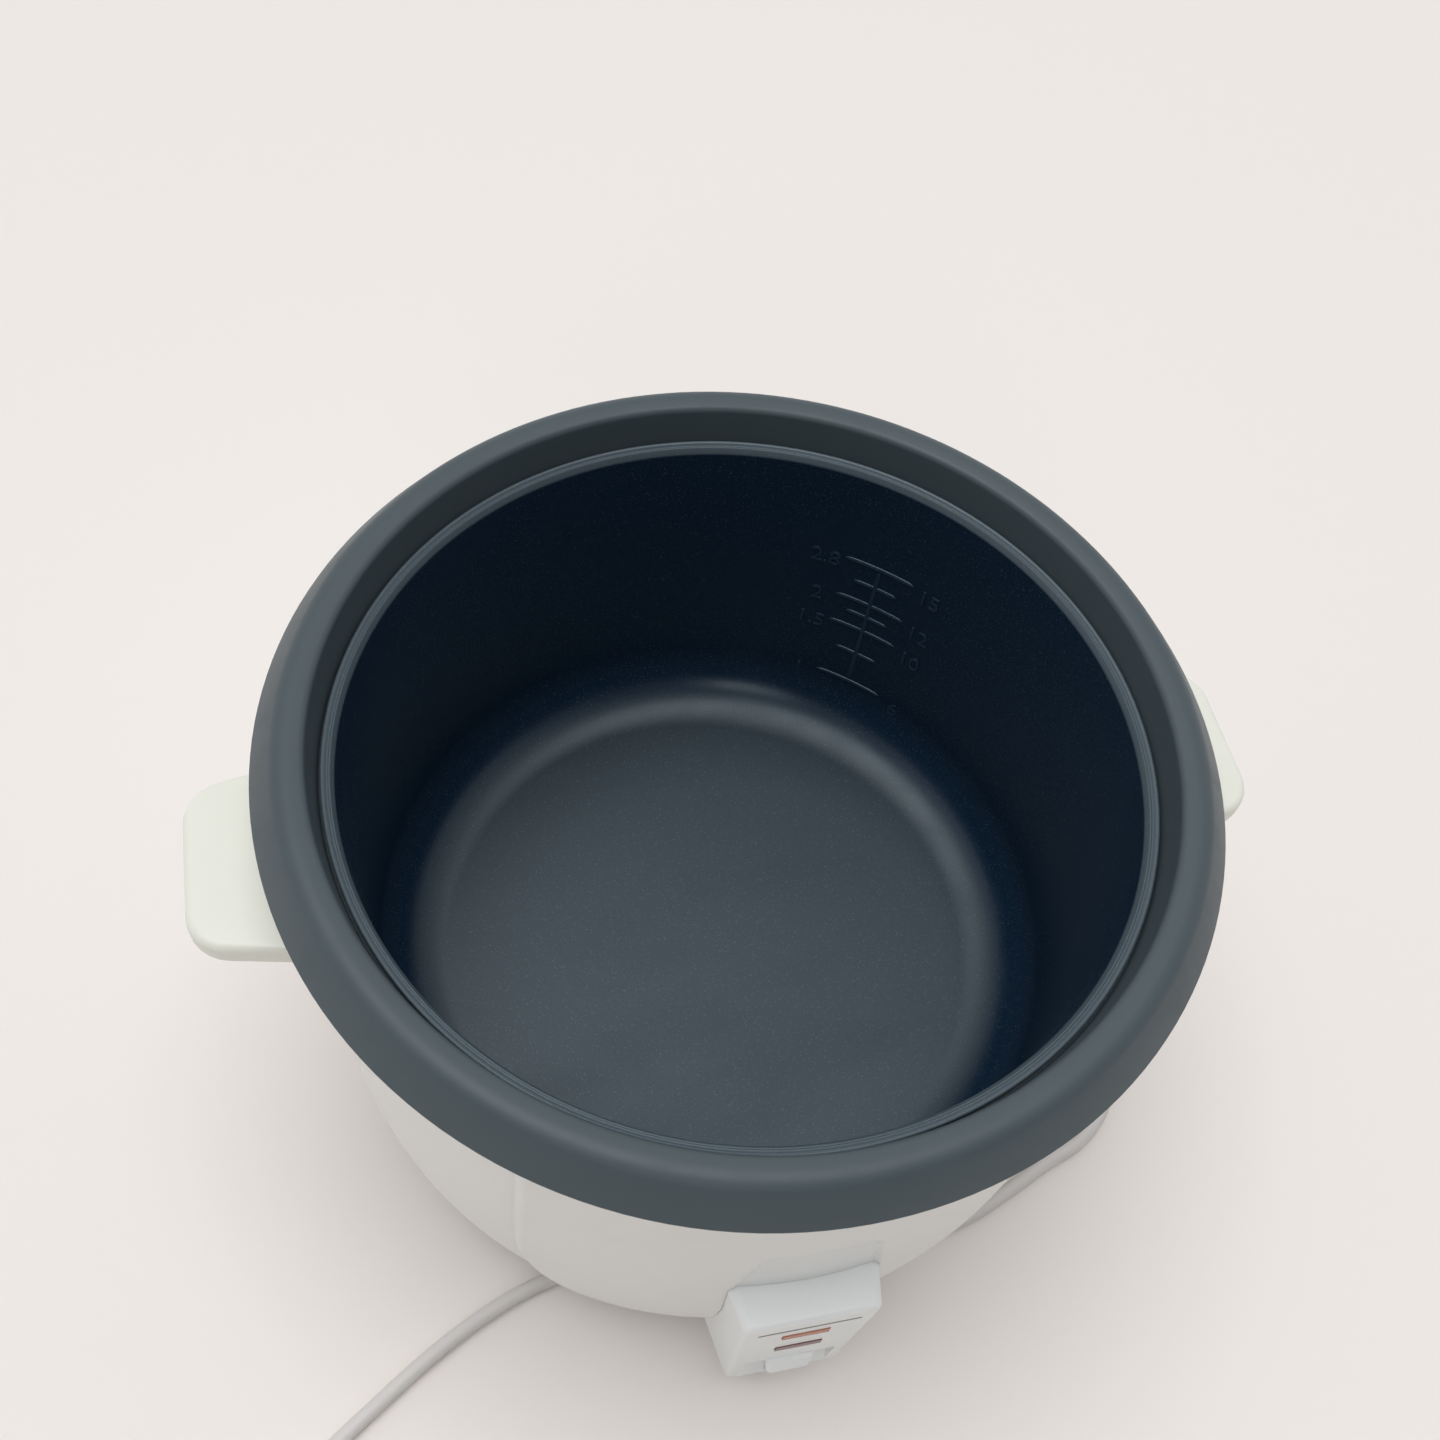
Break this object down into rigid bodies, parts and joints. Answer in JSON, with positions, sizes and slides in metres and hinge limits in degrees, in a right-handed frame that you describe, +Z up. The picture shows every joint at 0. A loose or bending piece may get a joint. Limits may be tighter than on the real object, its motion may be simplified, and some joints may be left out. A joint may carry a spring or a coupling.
{
  "type": "rice cooker",
  "caption": "Household rice cooker with a white body, dark grey rim ring, lift-out non-stick pot, cook lever with two lamp windows, side handles and a mains cord",
  "frame": {"origin": "on the table, on the vertical axis of the body", "axes": "+Z up along the axis of the body, front with the switch box towards -Y, handles along X"},
  "size_m": [0.3938, 0.4718, 0.2215],
  "materials": {
    "white_plastic": "smooth white polypropylene, satin gloss",
    "handle_plastic": "slightly warm white plastic, satin gloss",
    "rim_plastic": "dark blue-grey plastic, satin",
    "pot_coating": "dark navy-grey non-stick coating on aluminium, satin",
    "cast_aluminium": "cast aluminium, turned top",
    "zinc_steel": "zinc-plated sheet steel",
    "spring_steel": "drawn steel wire and turned steel",
    "ferrite": "sintered ferrite, matt black",
    "orange_lens": "clear-tinted orange plastic",
    "red_lens": "clear-tinted dark red plastic",
    "lamp_glass": "clear glass tube",
    "black_plastic": "black moulded plastic",
    "mica": "mica sheet over heater wire",
    "brass_alloy": "bare brass",
    "foot_rubber": "grey-black rubber",
    "cord_sheath": "light grey soft plastic sheath",
    "wire_sheath": "glass-fibre sleeved wire"
  },
  "bodies": {
    "root": {"rim_ring": "rim_plastic", "body_shell": "white_plastic", "front_panel": "white_plastic", "switch_box": "white_plastic", "cook_lamp_lens": "orange_lens", "warm_lamp_lens": "red_lens", "cook_neon_lamp": "lamp_glass", "warm_neon_lamp": "lamp_glass", "lamp_holder": "black_plastic", "left_handle": "handle_plastic", "right_handle": "handle_plastic", "handle_screw_1": "zinc_steel", "handle_screw_2": "zinc_steel", "handle_screw_3": "zinc_steel", "handle_screw_4": "zinc_steel", "pot_well": "zinc_steel", "heating_plate": "cast_aluminium", "plate_screw_1": "zinc_steel", "plate_screw_2": "zinc_steel", "plate_screw_3": "zinc_steel", "element_terminal_left": "brass_alloy", "element_terminal_right": "brass_alloy", "thermostat_housing": "zinc_steel", "sensor_spring": "spring_steel", "thermostat_holder": "zinc_steel", "lever_bracket": "zinc_steel", "lever_pin": "spring_steel", "pivot_bush": "brass_alloy", "lever_spring": "spring_steel", "base_plate": "zinc_steel", "foot_1": "foot_rubber", "foot_2": "foot_rubber", "foot_3": "foot_rubber", "foot_4": "foot_rubber", "standoff_1": "zinc_steel", "standoff_2": "zinc_steel", "standoff_3": "zinc_steel", "base_screw_1": "zinc_steel", "base_screw_2": "zinc_steel", "base_screw_3": "zinc_steel", "microswitch": "black_plastic", "terminal_block": "white_plastic", "thermal_fuse": "white_plastic", "keep_warm_heater": "mica", "live_wire": "wire_sheath", "neutral_wire": "wire_sheath", "lamp_wire": "wire_sheath", "inner_lead": "cord_sheath", "cord_gland": "cord_sheath", "cord_coil": "cord_sheath", "mains_cord": "cord_sheath", "plug_body": "cord_sheath", "plug_blade_left": "brass_alloy", "plug_blade_right": "brass_alloy"},
    "pot": {"inner_pot": "pot_coating"},
    "lever": {"lever_bar": "zinc_steel", "lever_tab": "white_plastic"},
    "plunger": {"magnet_plunger": "spring_steel"},
    "sensor": {"sensor_cap": "cast_aluminium", "ferrite_slug": "ferrite"}
  },
  "joints": [
    {"name": "pot_lift", "type": "slide", "parent": "root", "child": "pot", "axis": [0, 0, 1], "range_m": [0, 0.25]},
    {"name": "cook_lever", "type": "hinge", "parent": "root", "child": "lever", "pos_m": [0, -0.058, 0.0305], "axis": [1, 0, 0], "range_deg": [0, 5.2], "stiffness_Nm_per_rad": 0.3, "springref_deg": -8.59},
    {"name": "plunger_lift", "type": "slide", "parent": "root", "child": "plunger", "axis": [0, 0, 1], "range_m": [0, 0.0054]},
    {"name": "sensor_press", "type": "slide", "parent": "root", "child": "sensor", "axis": [0, 0, 1], "range_m": [-0.0025, 0], "stiffness_N_per_m": 1200, "springref_m": 0.002, "deforming": ["sensor_spring"]}
  ],
  "couplings": [
    {"joint": "plunger_lift", "follows": "cook_lever", "m_per_rad": 0.058}
  ]
}
